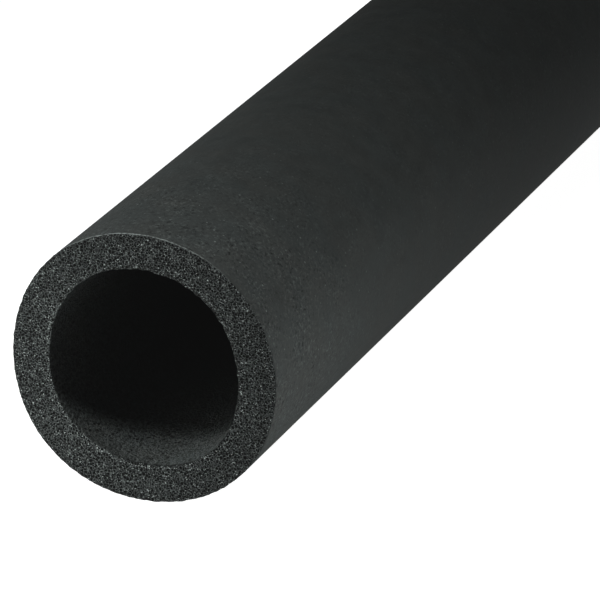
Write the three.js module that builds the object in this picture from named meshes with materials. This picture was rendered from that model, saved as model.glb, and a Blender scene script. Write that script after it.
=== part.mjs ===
// Pipe insulation lagging: one stock length of black closed-cell elastomeric foam tube.
// It is one moulded piece with its skin on the outside and in the bore, cut square at both ends.
// Millimetres, +Z up. The tube lies on level ground along Y, with the end that faces the viewer
// at -Y. The origin is on the ground, under the middle of the tube.
import * as THREE from 'three';

// Driving dimensions
const boreDiameter = 48; // fits over a pipe of 48 mm outside diameter
const wallThickness = 9; // foam between the bore and the outside
const stockLength = 1000; // length that the tube is sold in

// The foam is soft, so neither circle is quite true. Each swell is a slow wave round the section:
// how many lobes it has, how far they stand proud, and where the first one is, in degrees from +X
// towards +Z as seen from the near end.
const outsideSwells = [
  { lobes: 3, height: 0.11, firstAt: -14 },
  { lobes: 4, height: 0.17, firstAt: 41 },
];
const boreSwells = [
  { lobes: 2, height: 0.32, firstAt: -69 },
  { lobes: 3, height: 0.19, firstAt: -32 },
  { lobes: 4, height: 0.24, firstAt: 43 },
];
const boreRise = 0.16; // the bore sits this much above the middle of the outside

// How finely the round walls are faceted: one facet for every 5 degrees
const facetsRound = 72;

const foam = new THREE.MeshStandardMaterial({
  name: 'foam',
  color: 0x313534,
  roughness: 0.85,
  metalness: 0,
});

// One closed ring of points, a true circle but for its swells, lifted by rise. The points lie
// between the quarter marks, so that a facet, and not a corner, is at the bottom.
function ringPoints(radius, swells, rise) {
  const points = [];
  for (let i = 0; i < facetsRound; i += 1) {
    const angle = ((i + 0.5) / facetsRound) * 2 * Math.PI;
    let reach = radius;
    for (const swell of swells) {
      const firstAt = THREE.MathUtils.degToRad(swell.firstAt);
      reach += swell.height * Math.cos(swell.lobes * (angle - firstAt));
    }
    points.push(new THREE.Vector2(reach * Math.cos(angle), reach * Math.sin(angle) + rise));
  }
  return points;
}

// The section across the tube: the outside, with the bore as its hole.
function tubeSection() {
  const boreRadius = boreDiameter / 2;
  const outsideRadius = boreRadius + wallThickness;
  const section = new THREE.Shape(ringPoints(outsideRadius, outsideSwells, 0));
  section.holes.push(new THREE.Path(ringPoints(boreRadius, boreSwells, boreRise)));
  return section;
}

// The section drawn out to the stock length, laid along Y and set down on the ground.
function foamTube() {
  const geometry = new THREE.ExtrudeGeometry(tubeSection(), {
    depth: stockLength,
    steps: 1,
    bevelEnabled: false,
  });
  geometry.rotateX(Math.PI / 2);
  geometry.computeBoundingBox();
  const { min, max } = geometry.boundingBox;
  geometry.translate(-(min.x + max.x) / 2, -(min.y + max.y) / 2, -min.z);
  const tube = new THREE.Mesh(geometry, foam);
  tube.name = 'foam_tube';
  return tube;
}

const lagging = new THREE.Group();
lagging.name = 'pipe_insulation_lagging';
lagging.add(foamTube());

export default lagging;
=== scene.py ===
"""Dresses one stock length of black foam pipe insulation and sets the studio round it.

The foam tube is modelled as one closed mesh in place of its CAD node: a profile of the wall turned
round the bore, its circles brought to the soft tube's own section, the open cells of both knife cuts
sunk into the end faces as real relief, and the edges of the cuts pulled a little ragged.
"""

import logging
import math
from dataclasses import dataclass
from enum import Enum
from typing import Callable

import bmesh
import bpy
import numpy as np
from mathutils import Matrix, Vector


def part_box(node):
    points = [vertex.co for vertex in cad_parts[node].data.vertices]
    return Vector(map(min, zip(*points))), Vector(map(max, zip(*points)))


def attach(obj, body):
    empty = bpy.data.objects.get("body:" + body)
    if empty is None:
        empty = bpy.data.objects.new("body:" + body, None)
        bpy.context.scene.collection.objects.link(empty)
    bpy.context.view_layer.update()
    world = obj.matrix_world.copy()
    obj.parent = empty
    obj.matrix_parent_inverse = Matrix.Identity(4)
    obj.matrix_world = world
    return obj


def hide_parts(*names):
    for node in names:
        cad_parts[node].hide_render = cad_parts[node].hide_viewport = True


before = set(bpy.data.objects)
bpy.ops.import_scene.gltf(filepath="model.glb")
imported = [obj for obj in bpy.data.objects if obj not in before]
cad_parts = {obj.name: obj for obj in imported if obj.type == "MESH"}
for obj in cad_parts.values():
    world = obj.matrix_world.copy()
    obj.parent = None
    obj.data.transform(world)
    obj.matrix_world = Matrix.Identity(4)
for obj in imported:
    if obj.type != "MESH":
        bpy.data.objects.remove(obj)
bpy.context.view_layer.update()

MM = 0.001
FULL_TURN = 2 * math.pi

# two places nearer than this are one
HAIR = 0.001 * MM

# how much red and blue the foam's black has for each share of green
RED_SHARE = 0.88
BLUE_SHARE = 0.96

# A mix never goes past its second colour. So that grain can lighten a skin as well as darken it, the
# skin's colour is mixed out of one that is this many times as bright.
HEADROOM = 2.0

log = logging.getLogger("foam_tube")


class Finish(Enum):
    """The three surfaces of the foam, with the place of each in the tube's material slots."""

    OUTER_SKIN = 0
    CUT_CELLS = 1
    BORE_SKIN = 2


class NodeSketch:
    """Adds nodes to a material, world or geometry tree and wires them in one call each."""

    def __init__(self, tree: bpy.types.NodeTree) -> None:
        """Starts a sketch in a node tree.

        Args:
            tree: The tree that the nodes go into.
        """
        self.tree = tree

    def add(self, kind: str, inputs: dict | None = None, **settings: object) -> bpy.types.Node:
        """Adds one node.

        Args:
            kind: The node's type name.
            inputs: What each input socket holds or is fed by, by its name or number.
            **settings: Properties of the node itself.

        Returns:
            The new node.
        """
        node = self.tree.nodes.new(kind)
        for name, value in settings.items():
            setattr(node, name, value)
        for key, value in (inputs or {}).items():
            if isinstance(value, bpy.types.NodeSocket):
                self.tree.links.new(value, node.inputs[key])
            else:
                node.inputs[key].default_value = value
        return node

    def math(self, operation: str, *values: object, clamp: bool = False) -> bpy.types.NodeSocket:
        """Adds a math node and returns its result.

        Args:
            operation: The name of the operation.
            *values: Numbers or sockets, in the order of the node's inputs.
            clamp: Whether the result is kept between 0 and 1.

        Returns:
            The socket with the result.
        """
        node = self.add("ShaderNodeMath", dict(enumerate(values)), operation=operation, use_clamp=clamp)
        return node.outputs[0]

    def scaled(self, vector: bpy.types.NodeSocket, factors: tuple) -> bpy.types.NodeSocket:
        """Multiplies a vector by three factors.

        Args:
            vector: The vector's socket.
            factors: One factor for each axis.

        Returns:
            The socket with the product.
        """
        node = self.add("ShaderNodeVectorMath", {0: vector, 1: factors}, operation="MULTIPLY")
        return node.outputs[0]

    def between(self, value: object, low: float, high: float, to_low: float, to_high: float,
                smooth: bool = False) -> bpy.types.NodeSocket:
        """Maps one range onto another and holds the result inside it.

        Args:
            value: The socket that is mapped.
            low: Where the first range starts.
            high: Where the first range ends.
            to_low: The result at low.
            to_high: The result at high.
            smooth: Whether the ramp eases in and out.

        Returns:
            The socket with the result.
        """
        ramp = "SMOOTHSTEP" if smooth else "LINEAR"
        inputs = {"Value": value, "From Min": low, "From Max": high, "To Min": to_low, "To Max": to_high}
        return self.add("ShaderNodeMapRange", inputs, interpolation_type=ramp).outputs[0]

    def noise(self, vector: bpy.types.NodeSocket, pitch: float, detail: float = 2.0,
              curl: float = 0.0) -> bpy.types.NodeSocket:
        """Adds a soft noise.

        Args:
            vector: The place that is read, in metres.
            pitch: The size of its patches in metres.
            detail: How many finer layers it has.
            curl: How far its patches are twisted into worms.

        Returns:
            The socket with a value round 0.5.
        """
        inputs = {"Vector": vector, "Scale": 1 / pitch, "Detail": detail, "Distortion": curl}
        return self.add("ShaderNodeTexNoise", inputs).outputs[0]

    def blend(self, amount: object, first: object, second: object) -> bpy.types.NodeSocket:
        """Mixes two colours.

        Args:
            amount: How much of the second there is.
            first: The first colour, as RGBA or a socket.
            second: The second colour, as RGBA or a socket.

        Returns:
            The socket with the mixed colour.
        """
        node = self.add("ShaderNodeMix", data_type="RGBA")
        for key, value in ((0, amount), (6, first), (7, second)):
            if isinstance(value, bpy.types.NodeSocket):
                self.tree.links.new(value, node.inputs[key])
            else:
                node.inputs[key].default_value = value
        return node.outputs[2]


def black(level: float, warmth: float = 0.0) -> tuple:
    """The foam's black, which is a little short of red and blue.

    Args:
        level: How bright it is, in linear light.
        warmth: How much nearer to red it is, as a share of its level.

    Returns:
        The colour as RGBA.
    """
    return (level * (RED_SHARE + warmth), level, level * (BLUE_SHARE - warmth / 2), 1.0)


@dataclass(frozen=True)
class CellPattern:
    """The cells that a knife opens: where they lie and how deep each is, from 0 to 1.

    The same pattern sinks the relief and darkens the pits as painted shade, so that the two always agree.
    """

    pitch: float = 0.70 * MM
    wall: float = 0.05
    slope: float = 0.15
    shallowest: float = 0.25
    along_tube: float = 0.02

    def depth(self, sketch: NodeSketch, place: bpy.types.NodeSocket) -> bpy.types.NodeSocket:
        """How deep the cut is: closely packed cells between thin walls, each with its own depth.

        Args:
            sketch: Where the nodes go.
            place: The place that is read, in metres.

        Returns:
            The socket with the depth, from 0 on a wall to 1 in the deepest cell.
        """
        flat = sketch.scaled(place, (1.0, self.along_tube, 1.0))
        inputs = {"Vector": flat, "Scale": 1 / self.pitch, "Randomness": 1.0}
        edge = sketch.add("ShaderNodeTexVoronoi", inputs, feature="DISTANCE_TO_EDGE").outputs["Distance"]
        cell = sketch.add("ShaderNodeTexVoronoi", inputs, feature="F1").outputs["Color"]
        own = sketch.add("ShaderNodeSeparateXYZ", {0: cell}).outputs[0]
        bowl = sketch.between(edge, self.wall, self.wall + self.slope, 0.0, 1.0, smooth=True)
        return sketch.math("MULTIPLY", bowl, sketch.between(own, 0.0, 1.0, self.shallowest, 1.0))


@dataclass(frozen=True)
class SkinFinish:
    """A closed skin of the foam: matt and patchy, with a crinkled grain and a few pimples and pits.

    The grain and the marks are strongest beside the cuts and fade towards the middle of the tube. Painted
    light makes the skin lighter near each cut, and a marked edge takes a painted highlight along the top
    of the outer skin's edge and painted shade along the bottom of the bore's edge.
    """

    name: str
    middle: Vector
    radius: float
    end_at: float
    level: float
    grain_share: float
    grain_pitch: float
    grain_height: float
    edge: str
    painted_edge_level: float
    roughness: float = 0.7
    specular: float = 0.07
    grain_detail: float = 1.5
    grain_curl: float = 0.7
    grain_span: tuple = (0.3, 0.7)
    grain_power: float = 1.0
    dark_side: float = 1.0
    drawn_out: float = 1.0
    least_grain: float = 0.45
    kept_far_off: float = 0.22
    worked_near: float = 8 * MM
    worked_far: float = 75 * MM
    worked_pitch: float = 11 * MM
    worked_span: tuple = (0.38, 0.62)
    painted_end_light_share: float = 0.0
    painted_end_light_near: float = 2 * MM
    painted_end_light_far: float = 12 * MM
    patch_pitch: float = 5 * MM
    patch_detail: float = 4.0
    patch_span: tuple = (0.25, 0.75)
    patch_share: float = 0.13
    rough_span: tuple = (0.3, 0.7)
    rough_wander: float = 0.04
    tint_pitch: float = 12 * MM
    tint_span: tuple = (0.35, 0.65)
    tint: float = 0.018
    mark_pitch: float = 2.5 * MM
    mark_radius: float = 0.21 * MM
    mark_sizes: tuple = (0.45, 1.25)
    mark_edge: tuple = (0.6, 1.25)
    pimple_chance: tuple = (0.76, 0.94)
    pimple_level: float = 0.14
    pit_chance: tuple = (0.0, 0.16)
    pit_level: float = 0.010
    edge_pitch: float = 0.8 * MM
    edge_span: tuple = (0.40, 0.58)
    edge_least: float = 0.2

    def material(self) -> bpy.types.Material:
        """Makes the skin's material.

        Returns:
            The material.
        """
        material, sketch, shader = new_material(self.name)
        place = sketch.add("ShaderNodeTexCoord").outputs["Object"]
        along = sketch.math("ABSOLUTE", sketch.add("ShaderNodeSeparateXYZ", {0: place}).outputs[1])
        kept = sketch.between(along, self.end_at - self.worked_far, self.end_at - self.worked_near,
                              self.kept_far_off, 1.0, smooth=True)
        # painted light: the skin is lighter near each cut end
        pale = sketch.between(along, self.end_at - self.painted_end_light_far, self.end_at - self.painted_end_light_near,
                              1 / HEADROOM, (1 + self.painted_end_light_share) / HEADROOM, smooth=True)
        grain = sketch.math("MULTIPLY", self.grain(sketch, place), kept)
        patches = sketch.noise(place, self.patch_pitch, self.patch_detail)
        fine = sketch.math("MULTIPLY_ADD", grain, self.grain_share, 1.0)
        broad = sketch.between(patches, *self.patch_span, 1 - self.patch_share, 1 + self.patch_share)
        shade = sketch.math("MULTIPLY", sketch.math("MULTIPLY", fine, broad), pale)
        warmth = sketch.between(sketch.noise(place, self.tint_pitch), *self.tint_span, 0.0, 1.0)
        bright = HEADROOM * self.level
        tone = sketch.blend(warmth, black(bright, -self.tint), black(bright, self.tint))
        colour = sketch.blend(shade, black(0.0), tone)
        pimple, pit = (sketch.math("MULTIPLY", mark, kept) for mark in self.marks(sketch, place))
        colour = sketch.blend(pimple, colour, black(self.pimple_level))
        colour = sketch.blend(pit, colour, black(self.pit_level))
        # the marked edge is painted: a painted highlight along the top of the outer skin's edge, painted
        # shade along the bottom of the bore's edge
        edge = sketch.add("ShaderNodeAttribute", attribute_name=self.edge).outputs["Fac"]
        broken = sketch.between(sketch.noise(place, self.edge_pitch), *self.edge_span,
                                self.edge_least, 1.0)
        colour = sketch.blend(sketch.math("MULTIPLY", edge, broken), colour, black(self.painted_edge_level))
        sketch.tree.links.new(colour, shader.inputs["Base Color"])
        rough = sketch.between(patches, *self.rough_span, self.roughness - self.rough_wander,
                               self.roughness + self.rough_wander)
        sketch.tree.links.new(rough, shader.inputs["Roughness"])
        shader.inputs["Specular IOR Level"].default_value = self.specular
        relief = sketch.math("ADD", grain, sketch.math("SUBTRACT", pimple, pit))
        inputs = {"Height": relief, "Distance": self.grain_height, "Strength": 1.0}
        sketch.tree.links.new(sketch.add("ShaderNodeBump", inputs).outputs[0], shader.inputs["Normal"])
        return material

    def grain(self, sketch: NodeSketch, place: bpy.types.NodeSocket) -> bpy.types.NodeSocket:
        """The crinkled grain, which is stronger in some patches than in others.

        Args:
            sketch: Where the nodes go.
            place: The place that is read, in metres.

        Returns:
            The socket with the grain, from -1 to 1 where it is strongest.
        """
        drawn = sketch.scaled(place, (1.0, 1 / self.drawn_out, 1.0))
        noise = sketch.noise(drawn, self.grain_pitch, self.grain_detail, self.grain_curl)
        crinkle = sketch.between(noise, *self.grain_span, -self.dark_side, 1.0)
        height = sketch.math("POWER", sketch.math("ABSOLUTE", crinkle), self.grain_power)
        crinkle = sketch.math("MULTIPLY", sketch.math("SIGN", crinkle), height)
        patches = sketch.noise(place, self.worked_pitch)
        worked = sketch.between(patches, *self.worked_span, self.least_grain, 1.0)
        return sketch.math("MULTIPLY", crinkle, worked)

    def marks(self, sketch: NodeSketch, place: bpy.types.NodeSocket) -> tuple:
        """Scatters light pimples and dark pits of many sizes over the skin as it would lie unrolled.

        Args:
            sketch: Where the nodes go.
            place: The place that is read, in metres.

        Returns:
            The sockets that are 1 on a pimple, and 1 in a pit.
        """
        parts = sketch.add("ShaderNodeSeparateXYZ", {0: place}).outputs
        above = sketch.math("SUBTRACT", parts[2], self.middle.z)
        round_way = sketch.math("MULTIPLY", sketch.math("ARCTAN2", above, parts[0]), self.radius)
        flat = sketch.add("ShaderNodeCombineXYZ", {0: round_way, 1: parts[1]}).outputs[0]
        inputs = {"Vector": flat, "Scale": 1 / self.mark_pitch}
        marks = sketch.add("ShaderNodeTexVoronoi", inputs, voronoi_dimensions="2D")
        chance, size, _ = sketch.add("ShaderNodeSeparateXYZ", {0: marks.outputs["Color"]}).outputs
        smallest, largest = (part * self.mark_radius / self.mark_pitch for part in self.mark_sizes)
        own = sketch.between(size, 0.0, 1.0, smallest, largest)
        share = sketch.math("DIVIDE", marks.outputs["Distance"], own)
        spot = sketch.between(share, *self.mark_edge, 1.0, 0.0)
        pimple = sketch.math("MULTIPLY", spot, sketch.between(chance, *self.pimple_chance, 0.0, 1.0))
        pit = sketch.math("MULTIPLY", spot, sketch.between(chance, *self.pit_chance, 1.0, 0.0))
        return pimple, pit


@dataclass(frozen=True)
class CutFinish:
    """The knife cut: torn cell walls of random brightness, with painted glints, between open cells
    darkened by painted shade.

    Beside the bore, the more so the lower it lies, a painted highlight brightens more of the walls,
    and the very edge has painted shade along its bottom.
    """

    cells: CellPattern
    name: str = "cut_foam"
    dull_wall: float = 0.0062
    bright_wall: float = 0.103
    painted_cell_shade: float = 0.0016
    painted_glint_level: float = 0.44
    roughness: float = 0.8
    specular: float = 0.1
    crumb_pitch: float = 0.32 * MM
    crumb_height: float = 0.06 * MM
    crumb_detail: float = 1.0
    torn_span: tuple = (0.38, 0.66)
    glint_span: tuple = (0.68, 0.72)
    painted_highlight_lift: float = 0.075
    cell_shade_full_at: float = 0.45
    brink_shade_level: float = 0.006
    brink_pitch: float = 0.8 * MM
    brink_span: tuple = (0.40, 0.58)
    brink_least: float = 0.1

    def material(self) -> bpy.types.Material:
        """Makes the cut's material.

        Returns:
            The material.
        """
        material, sketch, shader = new_material(self.name)
        place = sketch.add("ShaderNodeTexCoord").outputs["Object"]
        depth = self.cells.depth(sketch, place)
        crumbs = sketch.noise(place, self.crumb_pitch, self.crumb_detail)
        # painted highlight beside the bore: more of the walls are bright there, and there are more glints
        painted_bore_highlight = sketch.add("ShaderNodeAttribute", attribute_name="painted_bore_highlight").outputs["Fac"]
        pale = sketch.math("MULTIPLY_ADD", painted_bore_highlight, self.painted_highlight_lift, crumbs)
        torn = sketch.between(pale, *self.torn_span, 0.0, 1.0)
        wall = sketch.blend(torn, black(self.dull_wall), black(self.bright_wall))
        # painted glints: bright specks that stand in for light caught by the cell walls
        glint = sketch.between(pale, *self.glint_span, 0.0, 1.0)
        wall = sketch.blend(glint, wall, black(self.painted_glint_level))
        # painted shade: the open cells are darkened as deep as they sink
        sunk = sketch.between(depth, 0.0, self.cell_shade_full_at, 0.0, 1.0)
        colour = sketch.blend(sunk, wall, black(self.painted_cell_shade))
        # painted shade along the bottom of the bore's edge, broken up by a noise
        painted_brink_shade = sketch.add("ShaderNodeAttribute", attribute_name="painted_brink_shade").outputs["Fac"]
        broken = sketch.between(sketch.noise(place, self.brink_pitch), *self.brink_span,
                                self.brink_least, 1.0)
        colour = sketch.blend(sketch.math("MULTIPLY", painted_brink_shade, broken), colour, black(self.brink_shade_level))
        sketch.tree.links.new(colour, shader.inputs["Base Color"])
        shader.inputs["Roughness"].default_value = self.roughness
        shader.inputs["Specular IOR Level"].default_value = self.specular
        inputs = {"Height": crumbs, "Distance": self.crumb_height, "Strength": 1.0}
        sketch.tree.links.new(sketch.add("ShaderNodeBump", inputs).outputs[0], shader.inputs["Normal"])
        return material


def new_material(name: str) -> tuple[bpy.types.Material, NodeSketch, bpy.types.Node]:
    """Starts a material with one principled shader.

    Args:
        name: The material's name.

    Returns:
        The material, a sketch of its tree and its shader.
    """
    material = bpy.data.materials.new(name)
    material.use_nodes = True
    sketch = NodeSketch(material.node_tree)
    return material, sketch, material.node_tree.nodes["Principled BSDF"]


@dataclass(frozen=True)
class Wall:
    """The bore or the outside of the section, as a smooth closed curve round its own middle."""

    middle: Vector
    radius: float
    swells: tuple

    MOST_LOBES = 6

    @classmethod
    def through(cls, corners: np.ndarray) -> "Wall":
        """Reads the curve off the corners of a faceted ring.

        Args:
            corners: The ring's corners, as x and z, at even angles.

        Returns:
            The wall, with one cosine and one sine term for each count of lobes.
        """
        middle = corners.mean(axis=0)
        offsets = corners - middle
        angles = np.arctan2(offsets[:, 1], offsets[:, 0])
        reach = np.hypot(offsets[:, 0], offsets[:, 1])
        swells = tuple(
            (lobes, 2 * float(np.mean(reach * np.cos(lobes * angles))),
             2 * float(np.mean(reach * np.sin(lobes * angles))))
            for lobes in range(2, cls.MOST_LOBES + 1)
        )
        return cls(Vector((middle[0], 0.0, middle[1])), float(reach.mean()), swells)

    def places(self, angles: np.ndarray) -> np.ndarray:
        """Where the wall is at each angle.

        Args:
            angles: Angles from +X towards +Z, in radians.

        Returns:
            The places, as x and z.
        """
        reach = np.full_like(angles, self.radius)
        for lobes, along, across in self.swells:
            reach += along * np.cos(lobes * angles) + across * np.sin(lobes * angles)
        return np.stack(
            [self.middle.x + reach * np.cos(angles), self.middle.z + reach * np.sin(angles)], axis=1
        )


@dataclass(frozen=True)
class Section:
    """The tube across: its bore, its outside and its length, all read from the CAD node."""

    bore: Wall
    outside: Wall
    near: float
    far: float

    @classmethod
    def of(cls, node: str) -> "Section":
        """Reads the section from a CAD node.

        Args:
            node: The node's name.

        Returns:
            The section.
        """
        low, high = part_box(node)
        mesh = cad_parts[node].data
        places = np.zeros(len(mesh.vertices) * 3, np.float32)
        mesh.vertices.foreach_get("co", places)
        places = places.reshape(-1, 3).astype(float)
        at_end = places[places[:, 1] < low.y + 0.01 * MM][:, [0, 2]]
        corners = np.unique(at_end.round(7), axis=0)
        middle = corners.mean(axis=0)
        reach = np.hypot(*(corners - middle).T)
        outer = reach > (reach.min() + reach.max()) / 2
        return cls(Wall.through(corners[~outer]), Wall.through(corners[outer]), low.y, high.y)

    @property
    def length(self) -> float:
        """The tube's length."""
        return self.far - self.near


@dataclass
class FoamTube:
    """The whole tube as one closed mesh: skin, bore, and both cut ends with their open cells.

    Where the painted highlight along the top of each cut's outer edge and the painted shade along the
    bottom of its bore edge begin, and over how much they fade in, are shares of a radius, measured from
    the middle of the tube. The map fields share out the UV map's unit square.
    """

    section: Section
    cells: CellPattern
    node: str = "foam_tube"
    name: str = "foam_tube_body"
    steps_round: int = 896
    rings_in_wall: int = 44
    rim_round: float = 0.16 * MM
    rim_steps: int = 2
    margin: float = 1.2
    skin_from: float = 0.98
    rows_from_end: tuple = (0.30 * MM, 1.2 * MM, 12 * MM)
    lip: float = 0.20 * MM
    ragged_reach: float = 1.1 * MM
    ragged_depth: float = 0.28 * MM
    ragged_pitch: float = 1.7 * MM
    rim_ragged_share: float = 0.45
    ragged_span: tuple = (0.3, 0.7)
    pit_depth: float = 0.30 * MM
    knife_wander: float = 0.10 * MM
    knife_pitch: float = 14 * MM
    edge_detail: float = 3.0
    top_highlight_from: float = 0.75
    top_highlight_fade: float = 0.25
    brink_shade_from: float = -0.40
    brink_shade_fade: float = 0.30
    painted_highlight_reach: float = 2.0 * MM
    painted_highlight_side: float = 0.55
    map_tile: float = 2.06
    map_margin: float = 0.01
    skin_rows: tuple = (0.01, 0.27)
    lining_rows: tuple = (0.30, 0.18)

    def build(self) -> bpy.types.Object:
        """Models the tube.

        Returns:
            The tube's object.
        """
        tube = self.wall_profile()
        self.cut_rows()
        self.turn_wall(tube)
        self.bring_to_section(tube)
        self.mark_cuts(tube)
        self.lay_out_map(tube)
        self.open_cells(tube)
        bpy.ops.object.shade_smooth()
        return tube

    def wall_profile(self) -> bpy.types.Object:
        """Draws the wall cut lengthwise: a long thin outline with softened corners.

        Returns:
            The object, in edit mode, with only its outline left.
        """
        bpy.ops.object.select_all(action="DESELECT")
        bore, outside = self.section.bore.radius, self.section.outside.radius
        centre = (0.0, (self.section.near + self.section.far) / 2, (bore + outside) / 2)
        bpy.ops.mesh.primitive_plane_add(size=1.0, location=centre, rotation=(0.0, math.pi / 2, 0.0))
        tube = bpy.context.active_object
        tube.name = self.name
        bpy.ops.object.transform_apply(location=True, rotation=True, scale=True)
        bpy.ops.object.mode_set(mode="EDIT")
        bpy.ops.mesh.select_all(action="SELECT")
        size = (1.0, self.section.length, outside - bore)
        bpy.ops.transform.resize(value=size, center_override=centre)
        bpy.ops.mesh.bevel(offset=self.rim_round, segments=self.rim_steps, affect="VERTICES")
        bpy.ops.mesh.delete(type="ONLY_FACE")
        return tube

    def cut_rows(self) -> None:
        """Divides the outline: fine rings across each end, and a few rows along the length."""
        ends = (self.section.near, self.section.far)
        select_edges(lambda a, b: any(abs(a.y - y) < HAIR and abs(b.y - y) < HAIR for y in ends))
        bpy.ops.mesh.subdivide(number_cuts=self.rings_in_wall - 1)
        for step in self.rows_from_end:
            for y in (self.section.near + step, self.section.far - step):
                bpy.ops.mesh.select_all(action="SELECT")
                bpy.ops.mesh.bisect(plane_co=(0.0, y, 0.0), plane_no=(0.0, 1.0, 0.0))

    def turn_wall(self, tube: bpy.types.Object) -> None:
        """Turns the outline round the bore, closes it on itself, and lifts it to its height.

        Args:
            tube: The tube, with only its outline.
        """
        bpy.ops.object.mode_set(mode="OBJECT")
        screw = tube.modifiers.new("turn", "SCREW")
        screw.axis = "Y"
        screw.angle = FULL_TURN
        screw.steps = screw.render_steps = self.steps_round
        screw.use_merge_vertices = True
        screw.merge_threshold = HAIR
        bpy.ops.object.modifier_apply(modifier=screw.name)
        bpy.ops.object.mode_set(mode="EDIT")
        bpy.ops.mesh.select_all(action="SELECT")
        bpy.ops.mesh.normals_make_consistent(inside=False)
        bpy.ops.transform.translate(value=(0.0, 0.0, self.section.outside.middle.z))
        bpy.ops.object.mode_set(mode="OBJECT")

    def bring_to_section(self, tube: bpy.types.Object) -> None:
        """Brings the true circles to the soft section of the CAD node.

        Args:
            tube: The tube.
        """
        bore, outside = self.section.bore, self.section.outside
        places = vertex_places(tube)
        across = places[:, [0, 2]] - np.array([0.0, outside.middle.z])
        angles = np.arctan2(across[:, 1], across[:, 0])
        share = (np.hypot(*across.T) - bore.radius) / (outside.radius - bore.radius)
        inner, outer = bore.places(angles), outside.places(angles)
        places[:, [0, 2]] = inner + (outer - inner) * share[:, None]
        tube.data.vertices.foreach_set("co", places.astype(np.float32).ravel())
        tube.data.update()

    def mark_cuts(self, tube: bpy.types.Object) -> None:
        """Gives each face its finish, and each point its share of the relief and of the marked edges.

        A painted highlight lies only along the top of the outer edge of each cut, painted shade only
        along the bottom of the bore's edge, and the painted highlight on the cut beside the bore is
        stronger the lower it is.

        Args:
            tube: The tube.
        """
        bore, outside = self.section.bore, self.section.outside
        places, share = vertex_places(tube), self.wall_share(tube)
        wall = outside.radius - bore.radius
        from_bore, from_outside = share * wall, (1 - share) * wall
        from_end = np.minimum(places[:, 1] - self.section.near, self.section.far - places[:, 1])
        on_rim = self.margin * self.rim_round
        at_end = from_end < HAIR
        inset = np.minimum(from_bore, from_outside)
        self.note(tube, "cut", (inset - self.rim_round) / self.lip * at_end)
        self.note(tube, "end", 1 - from_end / self.rows_from_end[1])
        sideways, height = places[:, 0], places[:, 2] - outside.middle.z
        # painted highlight: the outer edge of each cut is lighter along its top, where the light from
        # above falls
        top_highlight = np.clip((height / outside.radius - self.top_highlight_from) / self.top_highlight_fade, 0, 1)
        self.note(tube, "painted_rim_highlight", top_highlight * (from_outside < on_rim) * (from_end < on_rim))
        # painted shade: the bore's edge at each cut is darker along its bottom
        shade_by_side = np.clip((sideways / bore.radius - self.brink_shade_from) / self.brink_shade_fade, 0, 1)
        at_brink = (from_bore < on_rim) * (from_end < self.margin * self.rows_from_end[0])
        self.note(tube, "painted_brink_shade", shade_by_side * (height < 0) * at_brink)
        # painted highlight: the cut beside the bore is lighter, the more so the lower it is, as if its
        # edge caught the light from above
        painted_highlight_by_height = self.painted_highlight_side - (1 - self.painted_highlight_side) * height / bore.radius
        self.note(tube, "painted_bore_highlight", np.clip(1 - from_bore / self.painted_highlight_reach, 0, 1) * painted_highlight_by_height)
        near_bore, near_rim, near_end = (
            np.clip(1 - away / self.ragged_reach, 0, 1) for away in (from_bore, from_outside, from_end)
        )
        self.note(tube, "ragged", (near_bore + self.rim_ragged_share * near_rim) * near_end)
        for face in tube.data.polygons:
            corners = list(face.vertices)
            if from_end[corners].max() < on_rim and share[corners].mean() < self.skin_from:
                face.material_index = Finish.CUT_CELLS.value
            elif share[corners].mean() < 0.5:
                face.material_index = Finish.BORE_SKIN.value
            else:
                face.material_index = Finish.OUTER_SKIN.value

    def note(self, tube: bpy.types.Object, name: str, values: np.ndarray) -> None:
        """Keeps one number from 0 to 1 at each point of the tube.

        Args:
            tube: The tube.
            name: What the number is called.
            values: The numbers, which are held between 0 and 1.
        """
        attribute = tube.data.attributes.new(name, "FLOAT", "POINT")
        attribute.data.foreach_set("value", np.clip(values, 0, 1).astype(np.float32))

    def wall_share(self, tube: bpy.types.Object) -> np.ndarray:
        """How far through the wall each point is, from 0 at the bore to 1 at the outside.

        Args:
            tube: The tube, already brought to its section.

        Returns:
            One share for each point.
        """
        across = vertex_places(tube)[:, [0, 2]] - np.array([0.0, self.section.outside.middle.z])
        angles = np.arctan2(across[:, 1], across[:, 0])
        middle = np.array([0.0, self.section.outside.middle.z])
        inner = np.hypot(*(self.section.bore.places(angles) - middle).T)
        outer = np.hypot(*(self.section.outside.places(angles) - middle).T)
        return np.clip((np.hypot(*across.T) - inner) / (outer - inner), 0, 1)

    def lay_out_map(self, tube: bpy.types.Object) -> None:
        """Lays the surface out flat: both cut faces at a large scale above the two skins.

        Args:
            tube: The tube.
        """
        layer = tube.data.uv_layers.new(name="OFBake")
        places = vertex_places(tube)
        middle_z = self.section.outside.middle.z
        tile = self.map_tile * self.section.outside.radius
        count = len(tube.data.loops)
        corner = np.zeros(count, int)
        tube.data.loops.foreach_get("vertex_index", corner)
        sizes = np.zeros(len(tube.data.polygons), int)
        tube.data.polygons.foreach_get("loop_total", sizes)
        owner = np.repeat(np.arange(len(sizes)), sizes)
        kinds = np.zeros(len(sizes), int)
        tube.data.polygons.foreach_get("material_index", kinds)
        kind, p = kinds[owner], places[corner]
        along = (p[:, 1] - self.section.near) / self.section.length
        angle = np.arctan2(p[:, 2] - middle_z, p[:, 0]) / FULL_TURN + 0.5
        # the faces that close the circle end at a full turn and not at its start
        starts = np.concatenate([[0], np.cumsum(sizes)[:-1]])
        widest = np.maximum.reduceat(angle, starts)[owner]
        angle = np.where((widest > 0.9) & (angle < 0.1), angle + 1, angle)
        uv = np.zeros((count, 2))
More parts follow.
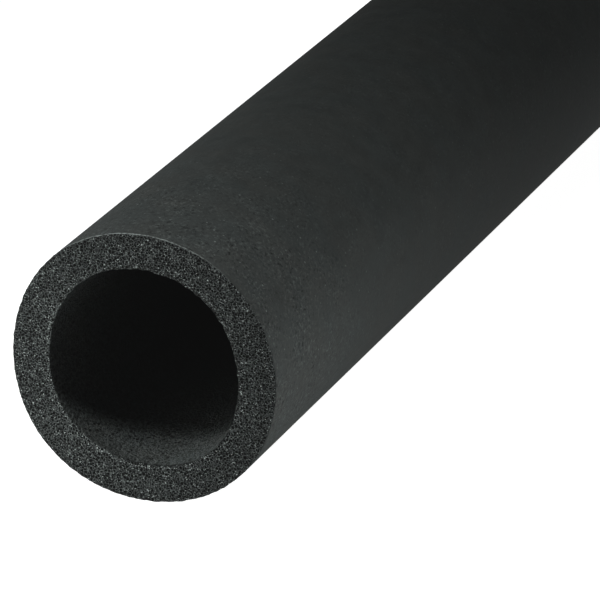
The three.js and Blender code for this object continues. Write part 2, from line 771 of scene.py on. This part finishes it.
        # each cut has a quarter of the map, side by side in its upper half
        cut = kind == Finish.CUT_CELLS.value
        face_x = (p[:, 0] / tile + 0.5) * 0.5 + np.where(along > 0.5, 0.5, 0.0)
        uv[cut] = np.stack([face_x, ((p[:, 2] - middle_z) / tile + 0.5) * 0.5 + 0.5], axis=1)[cut]
        length_way = self.map_margin + (1 - 2 * self.map_margin) * along
        rows = {Finish.OUTER_SKIN: self.skin_rows, Finish.BORE_SKIN: self.lining_rows}
        for skin, (low, height) in rows.items():
            own = kind == skin.value
            uv[own] = np.stack([length_way, low + height * angle], axis=1)[own]
        layer.data.foreach_set("uv", uv.astype(np.float32).ravel())

    def open_cells(self, tube: bpy.types.Object) -> None:
        """Sinks the open cells into both cuts, lets the knife wander and pulls the edges ragged.

        Args:
            tube: The tube.
        """
        tree = bpy.data.node_groups.new("cut_relief", "GeometryNodeTree")
        tree.interface.new_socket("Geometry", in_out="INPUT", socket_type="NodeSocketGeometry")
        tree.interface.new_socket("Geometry", in_out="OUTPUT", socket_type="NodeSocketGeometry")
        sketch = NodeSketch(tree)
        start, end = sketch.add("NodeGroupInput"), sketch.add("NodeGroupOutput")
        place = sketch.add("GeometryNodeInputPosition").outputs[0]
        cut, near, ragged = (
            sketch.add("GeometryNodeInputNamedAttribute", {"Name": name}, data_type="FLOAT").outputs[0]
            for name in ("cut", "end", "ragged")
        )
        parts = sketch.add("ShaderNodeSeparateXYZ", {0: place}).outputs
        # inwards from each end: the cells and the knife's wander
        sunk = sketch.math("MULTIPLY", self.cells.depth(sketch, place), self.pit_depth)
        sunk = sketch.math("MULTIPLY", sunk, cut)
        knife = sketch.noise(place, self.knife_pitch, self.edge_detail)
        wander = sketch.math("MULTIPLY", sketch.math("MULTIPLY", knife, self.knife_wander), near)
        inward = sketch.math("MULTIPLY", sketch.math("SIGN", parts[1]), -1.0)
        inward = sketch.math("MULTIPLY", sketch.math("ADD", sunk, wander), inward)
        along = sketch.add("ShaderNodeCombineXYZ", {1: inward}).outputs[0]
        # across the tube, away from the bore's middle or towards it: the ragged edges
        torn = sketch.noise(place, self.ragged_pitch, self.edge_detail)
        torn = sketch.between(torn, *self.ragged_span, -1.0, 1.0)
        pull = sketch.math("MULTIPLY", sketch.math("MULTIPLY", torn, ragged), self.ragged_depth)
        above = sketch.math("SUBTRACT", parts[2], self.section.bore.middle.z)
        away = sketch.add("ShaderNodeCombineXYZ", {0: parts[0], 2: above}).outputs[0]
        away = sketch.add("ShaderNodeVectorMath", {0: away}, operation="NORMALIZE").outputs[0]
        across = sketch.add("ShaderNodeVectorMath", {0: away, "Scale": pull}, operation="SCALE")
        offset = sketch.add("ShaderNodeVectorMath", {0: across.outputs[0], 1: along}, operation="ADD")
        inputs = {"Geometry": start.outputs[0], "Offset": offset.outputs[0]}
        moved = sketch.add("GeometryNodeSetPosition", inputs)
        tree.links.new(moved.outputs[0], end.inputs[0])
        modifier = tube.modifiers.new("cut_relief", "NODES")
        modifier.node_group = tree
        bpy.ops.object.modifier_apply(modifier=modifier.name)

    def dress(self, tube: bpy.types.Object) -> None:
        """Gives the tube its three finishes and ties it to the frame.

        Args:
            tube: The tube.
        """
        outside, bore = self.section.outside, self.section.bore
        skin = SkinFinish(name="foam_skin", middle=outside.middle, radius=outside.radius,
                          end_at=self.section.far, level=0.036, grain_share=0.95, grain_pitch=0.75 * MM,
                          grain_height=0.09 * MM, grain_power=2.0, dark_side=0.85, drawn_out=1.3,
                          painted_end_light_share=0.04, edge="painted_rim_highlight", painted_edge_level=0.23)
        lining = SkinFinish(name="bore_skin", middle=bore.middle, radius=bore.radius,
                            end_at=self.section.far, level=0.0585, grain_share=1.6, grain_pitch=0.56 * MM,
                            grain_height=0.28 * MM, grain_detail=2.5, dark_side=0.8, drawn_out=1.4,
                            least_grain=0.75, edge="painted_brink_shade", painted_edge_level=0.003)
        cut = CutFinish(self.cells)
        finishes = {Finish.OUTER_SKIN: skin, Finish.CUT_CELLS: cut, Finish.BORE_SKIN: lining}
        for place in sorted(finishes, key=lambda finish: finish.value):
            tube.data.materials.append(finishes[place].material())
        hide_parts(self.node)
        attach(tube, "root")


def select_edges(wanted: Callable[[Vector, Vector], bool]) -> None:
    """Selects, in edit mode, only the edges whose two ends pass a test.

    Args:
        wanted: The test, given the places of an edge's ends.
    """
    mesh = bpy.context.active_object.data
    bpy.ops.mesh.select_mode(type="EDGE")
    bpy.ops.mesh.select_all(action="DESELECT")
    drawn = bmesh.from_edit_mesh(mesh)
    for edge in drawn.edges:
        edge.select = wanted(edge.verts[0].co, edge.verts[1].co)
    drawn.select_flush_mode()
    bmesh.update_edit_mesh(mesh)


def vertex_places(obj: bpy.types.Object) -> np.ndarray:
    """The places of an object's points.

    Args:
        obj: A mesh object.

    Returns:
        One row of x, y and z for each point.
    """
    places = np.zeros(len(obj.data.vertices) * 3, np.float32)
    obj.data.vertices.foreach_get("co", places)
    return places.reshape(-1, 3).astype(float)


@dataclass(frozen=True)
class SoftLamp:
    """One square soft lamp, placed by its distance from the end of the tube that it stands by.

    It looks at the middle of that end, or at a point as far along the tube as aim_along says.
    """

    name: str
    offset: tuple
    size: float
    watts: float
    aim_along: float = 0.0
    spread: float = math.pi

    def hang(self, end: Vector, turn: float, widest: float) -> bpy.types.Object:
        """Hangs the lamp.

        Narrowing its light would make it brighter straight ahead, so its watts are cut by as much.

        Args:
            end: The middle of the end that the lamp stands by.
            turn: 1 for the near end, or -1 to turn it half round for the far end.
            widest: The widest angle that its light may fill, in radians.

        Returns:
            The lamp's object.
        """
        data = bpy.data.lights.new(self.name, "AREA")
        data.size = self.size
        data.spread = min(self.spread, widest)
        data.energy = self.watts
        if self.spread > widest:
            half = widest / 2
            data.energy *= 1 - half / math.tan(half)
        lamp = bpy.data.objects.new(self.name, data)
        bpy.context.scene.collection.objects.link(lamp)
        x, y, z = self.offset
        lamp.location = end + Vector((turn * x, turn * y, z))
        aim = end + Vector((0.0, turn * self.aim_along, 0.0))
        lamp.rotation_euler = (aim - lamp.location).to_track_quat("-Z", "Y").to_euler()
        lamp.visible_camera = False
        return lamp


@dataclass
class Studio:
    """The pale floor, the soft light and the camera of the photograph.

    The same lamps hang round both ends, so that the tube is lit alike from all sides.
    """

    section: Section
    floor_size: float = 60.0
    floor_drop: float = 0.05 * MM
    floor_glow: float = 0.299
    glow_past_end: float = 0.02
    glow_fade: float = 0.04
    floor_shown: float = 0.985
    lamps: tuple = (
        SoftLamp("key_lamp", (-0.082, -0.079, 0.20), 0.05, 0.21),
        SoftLamp("high_key_lamp", (-0.10, -0.07, 0.22), 0.05, 0.235),
        SoftLamp("top_lamp", (0.0, 0.12, 0.30), 0.20, 0.136),
        SoftLamp("low_front_lamp", (-0.035, -0.08, -0.014), 0.026, 0.073),
        SoftLamp("front_left_lamp", (-0.13, -0.05, 0.03), 0.04, 0.016),
        SoftLamp("left_lamp", (-0.30, 0.12, 0.10), 0.15, 0.21),
        SoftLamp("right_lamp", (0.20, 0.06, 0.04), 0.08, 0.135),
        SoftLamp("low_right_lamp", (0.10, 0.006, -0.02), 0.02, 0.030),
        SoftLamp("rim_lamp", (0.034, 0.012, 0.059), 0.02, 0.003),
        SoftLamp("shoulder_lamp", (0.0, 0.37, 0.26), 0.15, 0.055, 0.37, math.radians(56)),
        SoftLamp("middle_lamp", (0.0, 0.50, 0.26), 0.15, 0.070, 0.50, math.radians(80)),
    )
    far_spread: float = math.radians(120)
    floor_level: float = 0.35
    veil: float = 0.0037
    azimuth: float = 21.44
    elevation: float = 21.09
    focal_pixels: float = 5155.0
    end_at_pixel: tuple = (142.47, 368.87)
    distance_in_radii: float = 35.85
    frame_pixels: float = 600.0
    sensor_mm: float = 36.0
    nearest: float = 0.01
    farthest: float = 100.0

    def build(self) -> None:
        """Builds the floor, the sky, the lamps and the camera."""
        self.lay_floor()
        self.light_sky()
        self.hang_lamps()
        self.place_camera()
        self.set_view()

    def set_view(self) -> None:
        """Shows light as it is, with the faint veil that so bright a background lays over blacks."""
        view = bpy.context.scene.view_settings
        view.view_transform = "Standard"
        view.look = "None"
        view.use_curve_mapping = True
        view.curve_mapping.black_level = (-self.veil, -self.veil, -self.veil)
        view.curve_mapping.update()

    def lay_floor(self) -> None:
        """Lays a plain white floor just under the tube, lit from within as a light table is.

        It lights the tube only from beside it, fading out past its ends, and is clear from below.
        """
        bpy.ops.object.select_all(action="DESELECT")
        bpy.ops.mesh.primitive_plane_add(size=self.floor_size, location=(0.0, 0.0, -self.floor_drop))
        floor = bpy.context.active_object
        floor.name = "studio_floor"
        material, sketch, shader = new_material("studio_floor")
        shader.inputs["Base Color"].default_value = (*(self.floor_level,) * 3, 1.0)
        shader.inputs["Roughness"].default_value = 1.0
        shader.inputs["Specular IOR Level"].default_value = 0.0
        shader.inputs["Emission Color"].default_value = (1.0, 1.0, 1.0, 1.0)
        place = sketch.add("ShaderNodeTexCoord").outputs["Object"]
        along = sketch.math("ABSOLUTE", sketch.add("ShaderNodeSeparateXYZ", {0: place}).outputs[1])
        end = self.section.far
        lit = sketch.between(along, end - self.glow_fade, end, self.floor_glow, self.glow_past_end,
                             smooth=True)
        seen = sketch.add("ShaderNodeLightPath").outputs["Is Camera Ray"]
        shown = sketch.math("MULTIPLY", seen, self.floor_shown)
        unseen = sketch.math("MULTIPLY", sketch.math("SUBTRACT", 1.0, seen), lit)
        sketch.tree.links.new(sketch.math("ADD", shown, unseen), shader.inputs["Emission Strength"])
        below = sketch.add("ShaderNodeNewGeometry").outputs["Backfacing"]
        clear = sketch.add("ShaderNodeBsdfTransparent").outputs[0]
        one_sided = sketch.add("ShaderNodeMixShader", {0: below, 1: shader.outputs[0], 2: clear})
        output = material.node_tree.nodes["Material Output"]
        sketch.tree.links.new(one_sided.outputs[0], output.inputs["Surface"])
        floor.data.materials.append(material)

    def light_sky(self) -> None:
        """Shows white behind the floor, by a sky that gives no light of its own."""
        world = bpy.data.worlds.new("studio_sky")
        bpy.context.scene.world = world
        world.use_nodes = True
        world.node_tree.nodes.clear()
        sketch = NodeSketch(world.node_tree)
        seen = sketch.add("ShaderNodeLightPath").outputs["Is Camera Ray"]
        unlit = sketch.add("ShaderNodeBackground", {"Color": (1.0, 1.0, 1.0, 1.0), "Strength": 0.0})
        shown = sketch.add("ShaderNodeBackground", {"Color": (1.0, 1.0, 1.0, 1.0), "Strength": 1.0})
        mix = sketch.add("ShaderNodeMixShader", {0: seen, 1: unlit.outputs[0], 2: shown.outputs[0]})
        sketch.add("ShaderNodeOutputWorld", {"Surface": mix.outputs[0]})

    def hang_lamps(self) -> None:
        """Hangs the same soft lamps round each end of the tube, turned half round at the far one."""
        middle = self.section.outside.middle
        near = Vector((middle.x, self.section.near, middle.z))
        far = Vector((middle.x, self.section.far, middle.z))
        for end, turn, widest in ((near, 1.0, math.pi), (far, -1.0, self.far_spread)):
            for lamp in self.lamps:
                lamp.hang(end, turn, widest)

    def place_camera(self) -> None:
        """Stands the camera where the photograph was taken from."""
        a, e = math.radians(self.azimuth), math.radians(self.elevation)
        back = Vector((math.sin(a) * math.cos(e), -math.cos(a) * math.cos(e), math.sin(e)))
        right = Vector((math.cos(a), math.sin(a), 0.0))
        up = back.cross(right)
        half = self.frame_pixels / 2
        across = (self.end_at_pixel[0] + 0.5 - half) / self.focal_pixels
        above = -(self.end_at_pixel[1] + 0.5 - half) / self.focal_pixels
        outside = self.section.outside
        end = Vector((outside.middle.x, self.section.near, outside.middle.z))
        depth = self.distance_in_radii * outside.radius
        camera = bpy.data.objects.new("camera", bpy.data.cameras.new("camera"))
        camera.data.sensor_width = self.sensor_mm
        camera.data.lens = self.focal_pixels / self.frame_pixels * self.sensor_mm
        camera.data.clip_start, camera.data.clip_end = self.nearest, self.farthest
        turned = Matrix((right, up, back)).transposed().to_4x4()
        turned.translation = end - (right * across + up * above - back) * depth
        camera.matrix_world = turned
        bpy.context.scene.collection.objects.link(camera)
        bpy.context.scene.camera = camera


def main() -> None:
    """Builds the studio, then the tube, and reports each piece."""
    logging.basicConfig(level=logging.INFO, format="%(name)s: %(message)s")
    section = Section.of("foam_tube")
    Studio(section).build()
    foam = FoamTube(section, CellPattern())
    tube = foam.build()
    foam.dress(tube)
    log.info("%s: %d faces", tube.name, len(tube.data.polygons))


if __name__ == "__main__":
    main()
